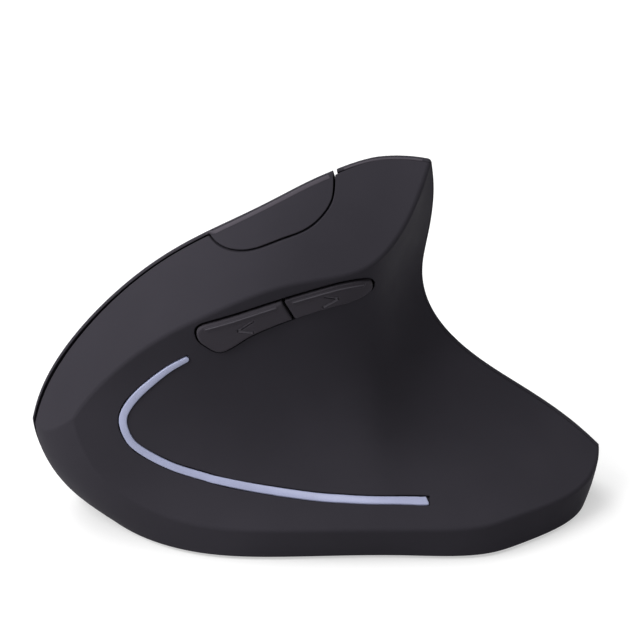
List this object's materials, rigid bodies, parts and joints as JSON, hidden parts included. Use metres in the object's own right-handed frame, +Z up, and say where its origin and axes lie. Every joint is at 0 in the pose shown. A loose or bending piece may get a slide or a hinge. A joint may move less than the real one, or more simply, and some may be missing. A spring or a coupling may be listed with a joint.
{
  "type": "wireless computer mouse",
  "caption": "Right-handed vertical wireless mouse: twin shells, thumb flange, main and thumb buttons, clickable scroll wheel, battery bay and receiver bay below.",
  "frame": {"origin": "middle of the object's box in plan, on the desk surface under the glide feet", "axes": "+Z up from the desk, +Y forwards to the nose, +X to the finger side, -X to the thumb side"},
  "size_m": [0.0638, 0.1216, 0.0765],
  "materials": {
    "shell_black": "soft touch, fine grain",
    "button_black": "soft touch, fine grain",
    "thumb_button_black": "satin",
    "strip_silver": "metallic lavender silver",
    "base_black": "fine texture",
    "inner_black": "plain moulded",
    "foot_dark": "slick, waxy",
    "tyre_rubber": "matte rubber",
    "hub_grey": "satin",
    "steel": "plain",
    "spring_nickel": "nickel plated",
    "board_green": "solder mask",
    "switch_black": "plain moulded",
    "plunger_white": "plain moulded",
    "encoder_green": "plain moulded",
    "chip_black": "plain",
    "shield_tin": "tin plated",
    "capacitor_blue": "sleeved",
    "lens_clear": "clear",
    "light_red": "tinted clear",
    "cell_sleeve": "printed sleeve, plain",
    "receiver_black": "satin",
    "ribbon_white": "thin film"
  },
  "bodies": {
    "case": {"accent_strip": "strip_silver", "back_switch": "switch_black", "base_plate": "base_black", "base_screws": "steel", "battery_1": "cell_sleeve", "battery_2": "cell_sleeve", "battery_contacts": "spring_nickel", "battery_spring_1": "spring_nickel", "battery_spring_2": "spring_nickel", "battery_tray": "inner_black", "board_screws": "steel", "button_board": "board_green", "button_connector": "plunger_white", "capacitor": "capacitor_blue", "centre_strip": "shell_black", "control_chip": "chip_black", "crystal": "shield_tin", "dpi_switch": "switch_black", "forward_switch": "switch_black", "front_foot": "foot_dark", "left_switch": "switch_black", "main_board": "board_green", "main_board_screws": "steel", "main_connector": "plunger_white", "power_switch": "switch_black", "radio_shield": "shield_tin", "rear_cover": "shell_black", "rear_foot": "foot_dark", "receiver_bay": "inner_black", "ribbon_cable": "ribbon_white", "right_switch": "switch_black", "sensor_chip": "chip_black", "sensor_lens": "lens_clear", "sensor_light": "light_red", "side_board": "board_green", "side_feet": "foot_dark", "side_screws": "steel", "thumb_button_tray": "inner_black", "thumb_shell": "shell_black", "wheel_click_switch": "switch_black", "wheel_encoder": "encoder_green", "yoke_bracket": "inner_black", "yoke_pin": "steel"},
    "left_button": {"left_button": "button_black"},
    "right_button": {"right_button": "button_black"},
    "left_plunger": {"left_plunger": "plunger_white"},
    "right_plunger": {"right_plunger": "plunger_white"},
    "forward_button": {"forward_button": "thumb_button_black"},
    "back_button": {"back_button": "thumb_button_black"},
    "dpi_button": {"dpi_button": "thumb_button_black"},
    "wheel_yoke": {"wheel_yoke": "inner_black"},
    "wheel": {"scroll_wheel": "hub_grey", "wheel_tyre": "tyre_rubber", "wheel_axle": "steel"},
    "power_knob": {"power_knob": "base_black"},
    "battery_door": {"battery_door": "base_black"},
    "receiver": {"receiver_cap": "receiver_black", "receiver_plug": "shield_tin", "receiver_tongue": "receiver_black"}
  },
  "joints": [
    {"name": "left_button_press", "type": "hinge", "parent": "case", "child": "left_button", "pos_m": [0.01014, -0.00576, 0.0675], "axis": [-0.5946, 0.4134, 0.6896], "range_deg": [0, 0.34], "stiffness_Nm_per_rad": 6, "springref_deg": -0.17},
    {"name": "right_button_press", "type": "hinge", "parent": "case", "child": "right_button", "pos_m": [0.01704, -0.01126, 0.049], "axis": [-0.4999, 0.3829, 0.7768], "range_deg": [0, 0.4], "stiffness_Nm_per_rad": 6, "springref_deg": -0.17},
    {"name": "left_plunger_press", "type": "slide", "parent": "case", "child": "left_plunger", "axis": [-0.7403, -0.4902, -0.4602], "range_m": [0, 0.00042]},
    {"name": "right_plunger_press", "type": "slide", "parent": "case", "child": "right_plunger", "axis": [-0.7403, -0.4902, -0.4602], "range_m": [0, 0.00042]},
    {"name": "forward_button_press", "type": "slide", "parent": "case", "child": "forward_button", "axis": [1, 0, 0], "range_m": [0, 0.00035], "stiffness_N_per_m": 1500, "springref_m": -0.0002},
    {"name": "back_button_press", "type": "slide", "parent": "case", "child": "back_button", "axis": [1, 0, 0], "range_m": [0, 0.00035], "stiffness_N_per_m": 1500, "springref_m": -0.0002},
    {"name": "dpi_button_press", "type": "slide", "parent": "case", "child": "dpi_button", "axis": [-0.8025, -0.2708, -0.5317], "range_m": [0, 0.0004], "stiffness_N_per_m": 1500, "springref_m": -0.0002},
    {"name": "wheel_press", "type": "hinge", "parent": "case", "child": "wheel_yoke", "pos_m": [0.00513, 0.01683, 0.04615], "axis": [-0.6681, 0.4601, 0.5847], "range_deg": [0, 0.9], "stiffness_Nm_per_rad": 0.8, "springref_deg": -0.57},
    {"name": "wheel_turn", "type": "hinge", "parent": "wheel_yoke", "child": "wheel", "pos_m": [0.00604, 0.03047, 0.03646], "axis": [-0.6681, 0.4601, 0.5847], "continuous": true},
    {"name": "power_slide", "type": "slide", "parent": "case", "child": "power_knob", "axis": [0, 1, 0], "range_m": [0, 0.003]},
    {"name": "battery_door_removal", "type": "slide", "parent": "case", "child": "battery_door", "axis": [0, 0, -1], "range_m": [0, 0.02]},
    {"name": "receiver_removal", "type": "slide", "parent": "case", "child": "receiver", "axis": [0, 0, -1], "range_m": [0, 0.012]}
  ],
  "couplings": [
    {"joint": "left_plunger_press", "follows": "left_button_press", "m_per_rad": 0.06},
    {"joint": "right_plunger_press", "follows": "right_button_press", "m_per_rad": 0.0515}
  ]
}
